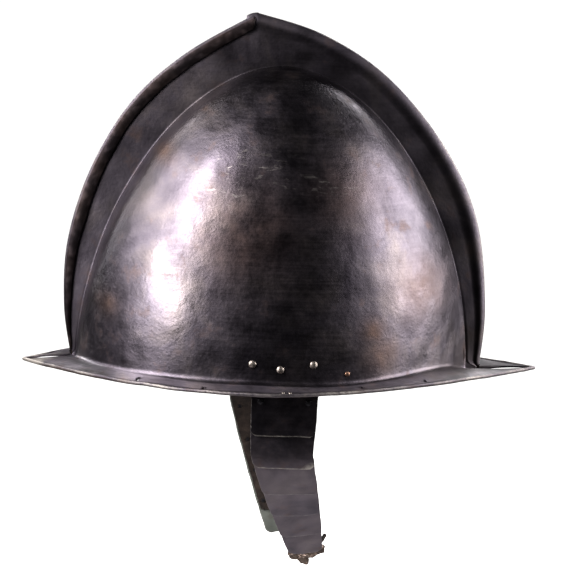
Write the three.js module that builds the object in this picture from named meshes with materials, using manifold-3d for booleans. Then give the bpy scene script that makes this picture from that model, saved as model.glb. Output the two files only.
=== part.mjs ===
// A combed morion: an open helmet of two steel half plates with a tall comb, a pointed brim
// and two hanging cheek pieces of overlapping lames riveted to leather.
// Millimetres. +X is the wearer's front, +Y the wearer's left and +Z up.
// The origin is the centre of the bowl's base, where the wearer's head enters.

import * as THREE from 'three';
import { mergeVertices } from 'three/addons/utils/BufferGeometryUtils.js';
import Module from 'manifold-3d';

const wasm = await Module();
wasm.setup();

// ---------------------------------------------------------------- driving dimensions

const PLATE = 1.5;             // thickness of the helmet's sheet steel
const HALF_GAP = 0.15;         // from the middle plane to each half plate
const GAP = 0.3;               // between neighbouring pieces

const BOWL_CENTRE_X = -2.75;
const BOWL_HALF_LENGTH = 129.75;
const BOWL_HALF_WIDTH = 95;
const BOWL_HEIGHT = 197;
const BOWL_FRONT_PLAN = { along: 2.2, across: 0.9 };   // the bowl's base is narrower in front
const BOWL_REAR_PLAN = { along: 2, across: 0.5 };      // and half an ellipse behind
const BOWL_PROFILE_POWER = 1.82;   // below 2, so that the crown is slightly pointed in side view
const BOWL_SECTION_POWER = 1.9;    // the same for the cross section

const BRIM_MIDDLE_X = -3;      // where the brim is widest
const BRIM_HALF_WIDTH = 112;
const BRIM_REAR = { reach: 165.5, power: 2, foot: -136.5 };
const BRIM_FRONT = { reach: 178, power: 1.55, foot: 136.6 };
const BRIM_EDGE_Z = -0.7;      // height of the brim's edge at its middle
const BRIM_EDGE_RISE = 0.0165; // rise of that edge for each millimetre forward
const BRIM_BEAD_RADIUS = 1.6;  // rolled edge
const BRIM_BEAD_RUN = 2.1;     // bead radii from the brim's edge to its flat sheet
const BRIM_ROOT_Z = 3.7;       // height of the line where the bowl turns into the brim
const BRIM_ROOT_RISE = 2.8;    // extra height of that line towards the front,
const BRIM_ROOT_RISE_SPAN = [35, 95];   // reached between these x
const FOOT_SPUR_WIDTH = 6;     // half width of the spur by which the bowl meets the comb's foot
const FOOT_SETTLE_WIDTH = 22;  // half width over which that line comes down to the foot

const COMB_ROOT = 4.5;         // half thickness of the comb where it leaves the bowl
const COMB_MIDDLE = 2.9;
const COMB_FULL_WIDTH = 24;    // width at which the comb's rim has its full section
const COMB_THICKENING = 1.6;   // how much sooner than that it has its full thickness
const RIM_BAND = 11;           // depth of the rim's section below the outline
const RIM_PLAIN_BAND = 4;      // depth at which a plain rim starts
const RIM_FACE = 1.9;          // half thickness of the comb at a plain rim
const RIM_COVERED_DROP = 2.2;  // a covered edge stops this far below the outline
const RIM_TURN_DEPTH = 1.8;    // reach of an edge that only turns over the other plate
const FOLD_DEPTH = 9.5;        // how far one plate's edge is turned down over the other's
const FOLD_THICKNESS = 1.3;
const FOOT_FILLET = 5;         // height over which the comb's feet run out into the brim

// The comb's outline in side view, from each foot up to the point at the top.
const COMB_TOP = [-21.8, 231.6];
const COMB_REAR_OUTLINE = [
  [BRIM_REAR.foot, 0], [-142, 34], [-140.8, 78], [-127, 126], [-102.2, 170], [-67.4, 203.2], COMB_TOP,
];
const COMB_FRONT_OUTLINE = [
  [BRIM_FRONT.foot, 0], [138.8, 42], [130, 100], [105.4, 149], [65.4, 193], [22, 218.8], COMB_TOP,
];
const REAR_COLUMNS = 20;
const FRONT_COLUMNS = 20;
const COLUMN_CROWDING = 1.25;  // above 1, so that the columns lie closer together at the feet

const STRAP_TOP_Z = 24;
const STRAP_TOP_Y = 89.4;      // outer face of the leather at its top
const STRAP_THICKNESS = 2.4;
const STRAP_LEAN = 3;          // degrees inward, upper part
const BEND_START = 63;         // distances down the strap
const BEND_RADIUS = 32;
const SWING_START = 66.5;
const SWING_SLOPE = 0.235;     // the lower part is swung forward
const TURN_START = 78;         // and its lames turn with it, fully after TURN_LENGTH
const TURN_LENGTH = 70;
const CHIN_HALF_WIDTH = 10.6;  // at the cheek piece's lower end
const CHEEK_WIDENING = 10.4;   // added to it where the cheek piece is widest,
const NARROWING_START = 32;    // down to this distance
const NARROWING_LENGTH = 130;
const NARROWING_POWER = 1.7;
const TOP_FLARE = 4.5;         // extra half width of the strap's top, under the bowl
const STRAP_INSET = 0.6;       // the leather is this much narrower than its lames on each side
const TORN_STEP = 8;           // length over which the leather narrows where it is torn
const TORN_POINT = 9;          // length of the pointed end

const LAME_THICKNESS = 1.2;
const LAME_STAND_OFF = 3;      // how far a lame's lower edge is lifted by the lame below it
const LAME_CHAMFER = 3;
const TOP_LAME_RIVET_DROP = 7; // from a lame's top to its rivets
const LAME_RIVET_DROP = 3.2;
const LAME_RIVET_SPREAD = 0.72;   // of the half width
// Each lame from its top, under the lame above, to its lower edge, as distances down the strap.
const LAMES = [[26, 55], [49, 75.5], [69.5, 99.5], [93.5, 121], [115, 142.5], [136.5, 161]];

const BOWL_RIVET = { radius: 2.3, dome: 1.4, shank: 1.1, sides: 8 };
const BRASS_RIVET = { radius: 1.7, dome: 0.9, shank: 0.9, sides: 8 };
const TOP_LAME_RIVET = { radius: 2, dome: 1.1, shank: 0.8, sides: 6 };
const LAME_RIVET = { radius: 1.5, dome: 0.5, shank: 0.8, sides: 6 };
const BOWL_RIVETS = [[-20, 15.3], [-2.4, 12.5], [18.5, 16]];   // x, z
const LINING_RIVET = [40.5, 9.9];
const BRIM_HOLES = [-91, -50, 50, 93];                         // x
const BRIM_HOLE_RADIUS = 1.3;
const BRIM_HOLE_INSET = 5.5;
const DRILL_LENGTH = 16;
const RIVET_SEAT = 0.5;        // from the curved wall to the flat underside of a rivet head
const RIVET_FOOT = { spread: 1.7, thickness: 0.7 };   // hammered end, in shanks and millimetres

// The left cheek piece hangs a little further back than the right one and its leather is
// torn away beside the two lowest lames. chinLean is its slope inward, in degrees.
const SIDES = {
  right: {
    sign: -1, shift: 0, swing: 0, chinLean: 38, strapEnd: 180, tornFrom: 157, tornWidth: 0.9,
  },
  left: {
    sign: 1, shift: -6.5, swing: -0.035, chinLean: 30, strapEnd: 164, tornFrom: 143, tornWidth: 0.5,
  },
};

// ---------------------------------------------------------------- materials

const steel = (name, color, roughness) =>
  new THREE.MeshStandardMaterial({ name, color, roughness, metalness: 1 });

const MATERIALS = {
  helmet: steel('blackened_steel', 0x4a464b, 0.38),
  lame: steel('blackened_lame', 0x3c3a3f, 0.5),
  rivet: steel('steel_rivet', 0x6b6664, 0.4),
  brass: steel('brass_rivet', 0x9a6b4a, 0.45),
  leather: new THREE.MeshStandardMaterial({
    name: 'old_leather', color: 0x5f5048, roughness: 0.85, metalness: 0,
  }),
};

// ---------------------------------------------------------------- closed solids

// Turns lists of points and faces into one closed geometry, leaving out faces that
// have shrunk to a line.
function closedGeometry(points, triangles) {
  const raw = new THREE.BufferGeometry();
  raw.setAttribute('position', new THREE.Float32BufferAttribute(points.flat(), 3));
  raw.setIndex(triangles.flat());
  const merged = mergeVertices(raw, 1e-3);
  const index = merged.getIndex().array;
  const kept = [];
  for (let t = 0; t < index.length; t += 3) {
    const [a, b, c] = [index[t], index[t + 1], index[t + 2]];
    if (a !== b && b !== c && c !== a) {
      kept.push(a, b, c);
    }
  }
  merged.setIndex(kept);
  return merged;
}

// A wall between two grids of points with the same rows and columns, closed round its edge.
// The outer grid's faces point out when columns run rearward to forward and rows run up,
// on the right-hand side; flip turns them for the left-hand side.
function wallBetween(outer, inner, flip) {
  const rows = outer.length;
  const columns = outer[0].length;
  const points = [...outer.flat(), ...inner.flat()];
  const at = (row, column) => row * columns + column;
  const offset = rows * columns;
  const triangles = [];
  const quad = (a, b, c, d) => {
    triangles.push(flip ? [c, b, a] : [a, b, c]);
    triangles.push(flip ? [d, c, a] : [a, c, d]);
  };
  for (let r = 0; r + 1 < rows; r += 1) {
    for (let c = 0; c + 1 < columns; c += 1) {
      const corners = [at(r, c), at(r, c + 1), at(r + 1, c + 1), at(r + 1, c)];
      quad(...corners);
      quad(...corners.map((corner) => corner + offset).reverse());
    }
  }
  const edge = [];
  for (let c = 0; c < columns - 1; c += 1) edge.push(at(0, c));
  for (let r = 0; r < rows - 1; r += 1) edge.push(at(r, columns - 1));
  for (let c = columns - 1; c > 0; c -= 1) edge.push(at(rows - 1, c));
  for (let r = rows - 1; r > 0; r -= 1) edge.push(at(r, 0));
  edge.forEach((start, k) => {
    const end = edge[(k + 1) % edge.length];
    quad(start, start + offset, end + offset, end);
  });
  return closedGeometry(points, triangles);
}

function toManifold(geometry) {
  const bare = geometry.clone();
  bare.deleteAttribute('normal');
  bare.deleteAttribute('uv');
  const merged = mergeVertices(bare, 1e-4);
  return new wasm.Manifold(new wasm.Mesh({
    numProp: 3,
    vertProperties: new Float32Array(merged.getAttribute('position').array),
    triVerts: new Uint32Array(merged.getIndex().array),
  }));
}

function fromManifold(solid) {
  const { vertProperties, triVerts } = solid.getMesh();
  const geometry = new THREE.BufferGeometry();
  geometry.setAttribute('position', new THREE.BufferAttribute(vertProperties, 3));
  geometry.setIndex(new THREE.BufferAttribute(triVerts, 1));
  return geometry;
}

// Cuts round holes through a piece. Each hole has a centre, a direction and a radius.
function drilled(geometry, holes) {
  let solid = toManifold(geometry);
  for (const hole of holes) {
    const drill = new THREE.CylinderGeometry(hole.radius, hole.radius, DRILL_LENGTH, 8);
    drill.applyQuaternion(new THREE.Quaternion().setFromUnitVectors(
      new THREE.Vector3(0, 1, 0), hole.direction));
    drill.translate(...hole.centre.toArray());
    solid = solid.subtract(toManifold(drill));
  }
  return fromManifold(solid);
}

// ---------------------------------------------------------------- the half plates

const clamp01 = (value) => Math.min(1, Math.max(0, value));
const mix = (a, b, t) => a + (b - a) * t;
const mixPoints = (p, q, t) => p.map((value, k) => mix(value, q[k], t));

// Points along one side of the comb's outline, closer together towards its foot.
function outlinePoints(outline, columns) {
  const curve = new THREE.SplineCurve(outline.map(([x, z]) => new THREE.Vector2(x, z)));
  return Array.from({ length: columns + 1 }, (_, k) => curve.getPointAt((k / columns) ** COLUMN_CROWDING));
}

const COMB_OUTLINE = [
  ...outlinePoints(COMB_REAR_OUTLINE, REAR_COLUMNS),
  ...outlinePoints(COMB_FRONT_OUTLINE, FRONT_COLUMNS).reverse().slice(1),
];
const LAST = COMB_OUTLINE.length - 1;
const TOP = REAR_COLUMNS;

// Radius of the bowl's side view in the middle plane, seen from the bowl's centre.
function bowlRadius(direction, inset) {
  const along = Math.abs(direction.x) / (BOWL_HALF_LENGTH - inset);
  const up = direction.y / (BOWL_HEIGHT - inset);
  const power = BOWL_PROFILE_POWER;
  return (along ** power + up ** power) ** (-1 / power);
}

function brimRootZ(x) {
  return BRIM_ROOT_Z + BRIM_ROOT_RISE * THREE.MathUtils.smoothstep(x, ...BRIM_ROOT_RISE_SPAN);
}

// Everything that one column of a half plate needs: the direction of the comb above it, the
// comb's width, and its points on the crease, the bowl's base and the brim's edge.
// Points are [x, distance from the middle plane, z].
function column(k, inset) {
  const top = COMB_OUTLINE[k];
  const end = top.x < BOWL_CENTRE_X ? BRIM_REAR : BRIM_FRONT;
  const forward = Math.sign(top.x - BOWL_CENTRE_X);
  const direction = new THREE.Vector2(top.x - BOWL_CENTRE_X, top.y).normalize();
  const outer = bowlRadius(direction, 0);
  const reach = Math.hypot(top.x - BOWL_CENTRE_X, top.y);
  const toFoot = Math.exp(-((outer * direction.y / FOOT_FILLET) ** 2));
  const radius = bowlRadius(direction, inset);
  const footX = Math.abs(end.foot - BOWL_CENTRE_X);
  const flare = (footX - BOWL_HALF_LENGTH + inset) * toFoot;
  const width = reach - mix(outer, footX, toFoot);
  const comb = clamp01(width / COMB_FULL_WIDTH);
  const root = mix(HALF_GAP, COMB_ROOT, clamp01(COMB_THICKENING * comb));
  const along = Math.min(1, Math.abs(outer * direction.x) / BOWL_HALF_LENGTH);
  const plan = forward > 0 ? BOWL_FRONT_PLAN : BOWL_REAR_PLAN;
  const across = (1 - along ** plan.along) ** plan.across;
  const baseY = HALF_GAP + (BOWL_HALF_WIDTH - inset) * across;
  const spur = (footX - BOWL_HALF_LENGTH + inset) * Math.exp(-((baseY / FOOT_SPUR_WIDTH) ** 2));
  const baseX = BOWL_CENTRE_X + forward * ((BOWL_HALF_LENGTH - inset) * along + spur);
  const settled = 1 - Math.exp(-((baseY / FOOT_SETTLE_WIDTH) ** 2));
  const edgeX = BRIM_MIDDLE_X + forward * end.reach * along;
  const edgeY = HALF_GAP + BRIM_HALF_WIDTH * (1 - along ** end.power);
  return {
    direction,
    reach,
    width,
    comb,
    crease: [
      BOWL_CENTRE_X + direction.x * (radius + flare),
      Math.max(HALF_GAP, root - inset),
      direction.y * (radius + flare) - inset * toFoot,
    ],
    base: [baseX, baseY, brimRootZ(baseX) * settled - inset],
    edge: [edgeX, edgeY, BRIM_EDGE_Z + BRIM_EDGE_RISE * edgeX],
  };
}

// Brim rows, from the rolled edge in to the foot of the bowl. side is +1 for the upper face
// and -1 for the lower one.
function brimRows(col, side) {
  const inward = new THREE.Vector2(col.base[0] - col.edge[0], col.base[1] - col.edge[1]);
  inward.normalize();
  const near = (distance, height) => [
    col.edge[0] + inward.x * distance,
    Math.max(HALF_GAP, col.edge[1] + inward.y * distance),
    col.edge[2] + side * height,
  ];
  const sheet = near(BRIM_BEAD_RUN * BRIM_BEAD_RADIUS, PLATE / 2);
  return [
    near(0, 0),
    near(BRIM_BEAD_RADIUS, BRIM_BEAD_RADIUS),
    sheet,
    mixPoints(sheet, col.base, 0.5),
    col.base,
  ];
}

const SECTION_ANGLES = [7, 21, 36, 51, 66, 79, 90];

// Bowl rows, from the base up to the crease under the comb.
function bowlRows(col) {
  const power = 2 / BOWL_SECTION_POWER;
  return SECTION_ANGLES.map((degrees) => {
    const angle = THREE.MathUtils.degToRad(degrees);
    const level = Math.max(0, Math.cos(angle)) ** power;
    const rise = Math.sin(angle) ** power;
    return [
      mix(col.crease[0], col.base[0], level),
      mix(col.crease[1], col.base[1], level),
      mix(col.base[2], col.crease[2], rise),
    ];
  });
}

// The comb's rim as [depth below the outline, distance from the middle plane], outer and
// inner. turned is 0 where this plate ends plain, 1 where its edge only turns over the
// other plate and 2 where it is folded right down on the other side. covered says that the
// other plate's edge lies over this one.
function rimSection(turned, covered) {
  const foldInside = RIM_FACE + GAP;
  const foldOutside = foldInside + FOLD_THICKNESS;
  if (turned === 0) {
    const drop = covered ? RIM_COVERED_DROP : 0;
    const section = (face) => [
      [RIM_BAND, face], [RIM_PLAIN_BAND, face], ...Array(5).fill([drop, face]),
    ];
    return { outer: section(RIM_FACE), inner: section(HALF_GAP) };
  }
  const depth = turned === 2 ? FOLD_DEPTH : RIM_TURN_DEPTH;
  return {
    outer: [
      [RIM_BAND, 2.2], [3.5, 2.6], [1, 2.8], [0, 0.8],
      [0, -RIM_FACE], [1.2, -foldOutside], [depth, -foldOutside],
    ],
    inner: [
      [RIM_BAND, HALF_GAP], [3.5, HALF_GAP], [1.7, HALF_GAP], [1.7, -0.3],
      [1.7, -1.6], [RIM_TURN_DEPTH, -foldInside], [depth, -foldInside],
    ],
  };
}

// Where each half plate's edge is turned over: the right plate's in front of the comb's
// top and the left plate's behind it, ending a little above the feet.
function turnedAt(k, side) {
  const [first, last] = side === 'right' ? [TOP + 1, LAST - 2] : [2, TOP - 1];
  if (k < first || k > last) return 0;
  return k === first || k === last ? 1 : 2;
}

function combRows(k, side, col, inset) {
  const other = side === 'right' ? 'left' : 'right';
  const section = rimSection(turnedAt(k, side), turnedAt(k, other) > 0);
  const rim = inset > 0 ? section.inner : section.outer;
  const thickened = clamp01(COMB_THICKENING * col.comb);
  const middle = [
    mix(col.width, RIM_BAND * col.comb, 0.5),
    mix(HALF_GAP, Math.max(HALF_GAP, COMB_MIDDLE - inset), thickened),
  ];
  const scaled = rim.map(([depth, y]) => [
    depth * col.comb,
    y > 0 ? mix(HALF_GAP, y, thickened) : y,
  ]);
  return [middle, ...scaled].map(([depth, y]) => [
    BOWL_CENTRE_X + col.direction.x * (col.reach - depth),
    y,
    col.direction.y * (col.reach - depth) - inset * Number(col.comb === 0),
  ]);
}

function halfGrid(side, inset) {
  const columns = COMB_OUTLINE.map((_, k) => {
    const col = column(k, inset);
    const face = inset > 0 ? -1 : 1;
    return [...brimRows(col, face), ...bowlRows(col), ...combRows(k, side, col, inset)];
  });
  const { sign } = SIDES[side];
  return columns[0].map((_, row) => columns.map((points) => {
    const [x, y, z] = points[row];
    return [x, sign * y, z];
  }));
}

const halfGeometry = (side) =>
  wallBetween(halfGrid(side, 0), halfGrid(side, PLATE), side === 'left');

// ---------------------------------------------------------------- the cheek pieces

// A place on a cheek piece: x forward, q down the strap and h outward from its outer face.
function hang(side, x, q, h) {
  const lean = THREE.MathUtils.degToRad(STRAP_LEAN);
  const place = SIDES[side];
  const turn = THREE.MathUtils.degToRad(place.chinLean - STRAP_LEAN);
  const bent = Math.min(turn, Math.max(0, (q - BEND_START) / BEND_RADIUS));
  const straight = Math.min(q, BEND_START);
  const after = Math.max(0, q - BEND_START - BEND_RADIUS * turn);
  const angle = lean + bent;
  const inward = straight * Math.sin(lean)
    + BEND_RADIUS * (Math.cos(lean) - Math.cos(angle)) + after * Math.sin(angle);
  const down = straight * Math.cos(lean)
    + BEND_RADIUS * (Math.sin(angle) - Math.sin(lean)) + after * Math.cos(angle);
  const forward = x + place.shift + place.swing * (q - LAMES[0][0]);
  return [
    forward,
    place.sign * (STRAP_TOP_Y - inward + h * Math.cos(angle)),
    STRAP_TOP_Z - down - h * Math.sin(angle),
  ];
}

const cheekCentre = (q) => 1.5 + SWING_SLOPE * Math.max(0, q - SWING_START);

// The same, with the distance forward of the strap's middle line instead of x. Below the bend
// the cross lines are turned to stay square to that line.
function onCheek(side, offset, q, h) {
  const turned = SWING_SLOPE * clamp01((q - TURN_START) / TURN_LENGTH);
  return hang(side, cheekCentre(q) + offset, q - turned * offset, h);
}

// Half width of the cheek piece, widest at its top and narrowing towards the chin.
function cheekHalfWidth(q) {
  const down = clamp01((q - NARROWING_START) / NARROWING_LENGTH);
  const flare = TOP_FLARE * clamp01(1 - q / NARROWING_START);
  return CHIN_HALF_WIDTH + CHEEK_WIDENING * (1 - down ** NARROWING_POWER) + flare;
}

// A slab on a cheek piece between two distances down the strap. half gives its half width
// and low and high its two faces, all by that distance.
function cheekSlab(side, stations, across, half, low, high) {
  const grid = (height) => stations.map((q) => Array.from({ length: across + 1 }, (_, k) => {
    const spread = 2 * k / across - 1;
    return onCheek(side, spread * half(q), q, height(q));
  })).reverse();
  return wallBetween(grid(high), grid(low), side === 'left');
}

const stationsBetween = (from, to, steps) =>
  Array.from({ length: steps + 1 }, (_, k) => mix(from, to, k / steps));

function strapGeometry(side) {
  const { strapEnd, tornFrom, tornWidth } = SIDES[side];
  const half = (q) => {
    const torn = clamp01((q - tornFrom) / TORN_STEP);
    const point = clamp01((q - strapEnd + TORN_POINT) / TORN_POINT);
    return cheekHalfWidth(q) * mix(1, tornWidth, torn) * mix(1, 0.5, point) - STRAP_INSET;
  };
  const stations = [
    ...stationsBetween(0, tornFrom, 17), tornFrom + TORN_STEP, strapEnd - TORN_POINT / 2, strapEnd,
  ];
  return cheekSlab(side, stations, 2, half, () => -STRAP_THICKNESS, () => 0);
}

// A lame lies on the leather along its top edge and on the lame below it along its lower edge.
function lameLift(index, q) {
  const [from, to] = LAMES[index];
  return GAP + LAME_STAND_OFF * (q - from) / (to - from);
}

function lameGeometry(side, index) {
  const [from, to] = LAMES[index];
  const lift = (q) => lameLift(index, q);
  const half = (q) => cheekHalfWidth(q) - LAME_CHAMFER * clamp01((q - to + LAME_CHAMFER) / LAME_CHAMFER);
  const stations = [...stationsBetween(from, to - LAME_CHAMFER, 4), to];
  return cheekSlab(side, stations, 3, half, lift, (q) => lift(q) + LAME_THICKNESS);
}

// ---------------------------------------------------------------- rivets

// A rivet with a domed head, a shank and a flat inner head. grip is the thickness that it
// holds between its two heads.
function rivetGeometry({ radius, dome, shank, sides }, grip) {
  const foot = RIVET_FOOT.spread * shank;
  const end = grip + RIVET_FOOT.thickness;
  const profile = [
    [0, dome], [0.62 * radius, 0.7 * dome], [radius, 0], [shank, 0],
    [shank, -grip], [foot, -grip], [foot, -end], [0, -end],
  ];
  const points = profile.reverse().map(([r, z]) => new THREE.Vector2(r, z));
  return new THREE.LatheGeometry(points, sides);
}

// Turns a rivet made along +Y to point outward at a place.
function placed(geometry, place, direction) {
  geometry.applyQuaternion(new THREE.Quaternion().setFromUnitVectors(
    new THREE.Vector3(0, 1, 0), direction));
  geometry.translate(...place.toArray());
  return geometry;
}

// The place on a half plate's outer face at a given x and z, and the way it faces there.
function seatOn(shell, sign, x, z) {
  const start = new THREE.Vector3(x, sign * 300, z);
  const ray = new THREE.Raycaster(start, new THREE.Vector3(0, -sign, 0));
  const [hit] = ray.intersectObject(shell);
  return { point: hit.point, normal: hit.face.normal };
}

// ---------------------------------------------------------------- assembly

const group = new THREE.Group();

function add(name, geometry, material) {
  geometry.computeVertexNormals();
  const mesh = new THREE.Mesh(geometry, material);
  mesh.name = name;
  group.add(mesh);
}

for (const side of ['right', 'left']) {
  const { sign, shift } = SIDES[side];
  const outward = new THREE.Vector3(0, sign, 0);
  const shell = new THREE.Mesh(
    halfGeometry(side), new THREE.MeshBasicMaterial({ side: THREE.DoubleSide }));
  const shellHoles = [];
  const strapHoles = [];

  BOWL_RIVETS.forEach(([x, z], k) => {
    const wall = seatOn(shell, sign, x + shift, z).point;
    const centre = wall.clone().addScaledVector(outward, RIVET_SEAT);
    const strapInside = Math.abs(hang(side, x, STRAP_TOP_Z - z, -STRAP_THICKNESS)[1]);
    const grip = Math.abs(centre.y) - strapInside + GAP;
    add(`bowl_rivet_${side}_${k + 1}`,
      placed(rivetGeometry(BOWL_RIVET, grip), centre, outward), MATERIALS.rivet);
    shellHoles.push({ centre: wall, direction: outward, radius: BOWL_RIVET.shank + GAP });
    strapHoles.push({
      centre: new THREE.Vector3(x + shift, sign * (strapInside + 1), z),
      direction: outward,
      radius: BOWL_RIVET.shank + GAP,
    });
  });

  const [liningX, liningZ] = LINING_RIVET;
  const lining = seatOn(shell, sign, liningX, liningZ);
  const liningSeat = lining.point.clone().addScaledVector(lining.normal, GAP);
  add(`lining_rivet_${side}`,
    placed(rivetGeometry(BRASS_RIVET, PLATE + 3 * GAP), liningSeat, lining.normal), MATERIALS.brass);
  shellHoles.push({
    centre: lining.point, direction: lining.normal, radius: BRASS_RIVET.shank + GAP,
  });

  for (const x of BRIM_HOLES) {
    const end = x < BRIM_MIDDLE_X ? BRIM_REAR : BRIM_FRONT;
    const along = Math.abs(x - BRIM_MIDDLE_X) / end.reach;
    const edgeY = BRIM_HALF_WIDTH * (1 - along ** end.power);
    shellHoles.push({
      centre: new THREE.Vector3(x, sign * (edgeY - BRIM_HOLE_INSET), BRIM_EDGE_Z + 2),
      direction: new THREE.Vector3(0, 0, 1),
      radius: BRIM_HOLE_RADIUS,
    });
  }

  LAMES.forEach(([from], index) => {
    const q = from + (index === 0 ? TOP_LAME_RIVET_DROP : LAME_RIVET_DROP);
    const head = lameLift(index, q) + LAME_THICKNESS + GAP;
    const holes = ['rear', 'front'].map((end, k) => {
      const offset = (2 * k - 1) * LAME_RIVET_SPREAD * cheekHalfWidth(q);
      const place = new THREE.Vector3(...onCheek(side, offset, q, head));
      const inside = new THREE.Vector3(...onCheek(side, offset, q, head - 1));
      const direction = place.clone().sub(inside).normalize();
      const shape = index === 0 ? TOP_LAME_RIVET : LAME_RIVET;
      const grip = head + STRAP_THICKNESS + GAP;
      add(`lame_rivet_${side}_${index + 1}_${end}`,
        placed(rivetGeometry(shape, grip), place, direction), MATERIALS.rivet);
      return { centre: place, direction, radius: shape.shank + GAP };
    });
    add(`cheek_lame_${side}_${index + 1}`, drilled(lameGeometry(side, index), holes), MATERIALS.lame);
    strapHoles.push(...holes);
  });

  add(`${side}_half`, drilled(shell.geometry, shellHoles), MATERIALS.helmet);
  add(`cheek_strap_${side}`, drilled(strapGeometry(side), strapHoles), MATERIALS.leather);
}

export default group;
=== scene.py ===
# %% [markdown]
# # A combed morion
# An open helmet of about 1580, raised from two half plates of sheet steel that meet in a tall
# comb. Its brim runs out to a point in front and behind. Two cheek pieces of small
# overlapping plates, called lames, hang inside on leather straps.
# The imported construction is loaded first. It gives the frame: metres, +X the wearer's front,
# +Y the wearer's left and +Z up. Every piece made below is placed in that frame.

# %% Load the frame
from math import cos, sin, radians, degrees, exp, hypot, pi

import bmesh
import bpy
from mathutils import Matrix, Vector, noise
from mathutils.bvhtree import BVHTree


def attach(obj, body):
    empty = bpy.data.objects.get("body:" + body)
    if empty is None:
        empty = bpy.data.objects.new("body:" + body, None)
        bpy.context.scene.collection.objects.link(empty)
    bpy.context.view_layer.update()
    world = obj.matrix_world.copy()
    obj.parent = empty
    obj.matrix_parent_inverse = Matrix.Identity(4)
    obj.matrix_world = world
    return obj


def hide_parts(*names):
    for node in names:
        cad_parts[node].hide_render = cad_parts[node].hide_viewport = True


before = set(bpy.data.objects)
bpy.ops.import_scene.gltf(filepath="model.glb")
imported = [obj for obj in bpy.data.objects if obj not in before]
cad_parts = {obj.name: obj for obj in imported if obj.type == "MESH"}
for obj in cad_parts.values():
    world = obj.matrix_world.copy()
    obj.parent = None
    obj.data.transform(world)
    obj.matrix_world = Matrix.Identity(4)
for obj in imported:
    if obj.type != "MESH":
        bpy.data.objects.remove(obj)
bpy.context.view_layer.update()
MM = 0.001

# %% [markdown]
# ## Camera
# The helmet is seen from its right side, a little from above, with a long lens so that its
# outline is hardly distorted. The helmet sits slightly turned, and leans forward by a hair.

# %% Camera
VIEW_AZIMUTH = radians(-3.5)
VIEW_ELEVATION = radians(8.4)
VIEW_ROLL = radians(2.6)
VIEW_DISTANCE = 1.5
TARGET = Vector((0.00396, 0, 0.05224))

back = Vector((sin(VIEW_AZIMUTH) * cos(VIEW_ELEVATION),
               -cos(VIEW_AZIMUTH) * cos(VIEW_ELEVATION),
               sin(VIEW_ELEVATION)))
level = Vector((cos(VIEW_AZIMUTH), sin(VIEW_AZIMUTH), 0))
upright = back.cross(level)
across = level * cos(VIEW_ROLL) + upright * sin(VIEW_ROLL)
camera_data = bpy.data.cameras.new("camera")
camera_data.lens = 142.46
camera = bpy.data.objects.new("camera", camera_data)
bpy.context.scene.collection.objects.link(camera)
camera.matrix_world = Matrix.Translation(TARGET + back * VIEW_DISTANCE) @ Matrix(
    (across, back.cross(across), back)).transposed().to_4x4()
bpy.context.scene.camera = camera
bpy.context.scene.view_settings.view_transform = "Standard"
print("camera at", [round(value, 3) for value in camera.location])

# %% [markdown]
# ## Nodes
# Materials are node trees. One small function adds a node, sets its properties, and links or
# fills its inputs. Colours are written as the hex values that a colour picker shows, and turned
# to the linear values that shaders work with. Pattern sizes are given in real millimetres.

# %% Helpers for materials
def add(tree, kind, inputs=None, **settings):
    made = tree.nodes.new("ShaderNode" + kind)
    for name, value in settings.items():
        setattr(made, name, value)
    for name, value in (inputs or {}).items():
        if isinstance(value, bpy.types.NodeSocket):
            tree.links.new(value, made.inputs[name])
        else:
            made.inputs[name].default_value = value
    return made


def linear(hex_colour):
    channels = [int(hex_colour[k:k + 2], 16) / 255 for k in (1, 3, 5)]
    return [c / 12.92 if c < 0.04045 else ((c + 0.055) / 1.055) ** 2.4 for c in channels] + [1]


def per_mm(size):
    """The scale of a pattern whose features are this many millimetres apart."""
    return 1 / (size * MM)


def set_ramp(ramp_node, stops):
    elements = ramp_node.color_ramp.elements
    while len(elements) < len(stops):
        elements.new(0.5)
    for element, (place, value) in zip(elements, stops):
        element.position = place
        element.color = linear(value) if isinstance(value, str) else (value, value, value, 1)


def new_material(name):
    material = bpy.data.materials.new(name)
    material.use_nodes = True
    tree = material.node_tree
    tree.nodes.clear()
    shader = add(tree, "BsdfPrincipled")
    add(tree, "OutputMaterial", {"Surface": shader.outputs[0]})
    return material, tree, shader

# %% [markdown]
# ## Floor and light
# A polished black surface shows little but what it mirrors, so the lights are the
# picture: two tall soft boxes to the left and right of the viewer draw the two upright
# highlights on the bowl, and the space between them is left dark. Weaker boxes behind light
# the far side. The floor is a plain pale sheet well below, because a helmet is
# worn, not stood up.

# %% Floor and surroundings
FLOOR_Z = -0.42
floor_mesh = bmesh.new()
bmesh.ops.create_grid(floor_mesh, x_segments=8, y_segments=8, size=30)
bmesh.ops.translate(floor_mesh, verts=floor_mesh.verts, vec=(0, 0, FLOOR_Z))
floor_data = bpy.data.meshes.new("floor")
floor_mesh.to_mesh(floor_data)
floor_mesh.free()
floor = bpy.data.objects.new("floor", floor_data)
bpy.context.scene.collection.objects.link(floor)

# Uncoated paper: matte, nearly white, with fibres too faint to see as a pattern. Seen from
# below it is clear, so that it never hides the helmet.
paper, tree, shader = new_material("pale_paper")
shader.inputs["Roughness"].default_value = 0.9
shader.inputs["Specular IOR Level"].default_value = 0.1
fibre_cloud = add(tree, "TexNoise", {"Scale": per_mm(4), "Detail": 3.0,
                                     "Vector": add(tree, "TexCoord").outputs["Object"]})
tint = add(tree, "Mix", {0: fibre_cloud.outputs[0], 6: linear("#f4f3f1"), 7: linear("#efeeec")},
           data_type="RGBA")
tree.links.new(tint.outputs[2], shader.inputs["Base Color"])
below = add(tree, "MixShader", {0: add(tree, "NewGeometry").outputs["Backfacing"],
                                1: shader.outputs[0],
                                2: add(tree, "BsdfTransparent").outputs[0]})
tree.links.new(below.outputs[0], tree.nodes["Material Output"].inputs["Surface"])
floor_data.materials.append(paper)
floor.visible_glossy = False

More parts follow.
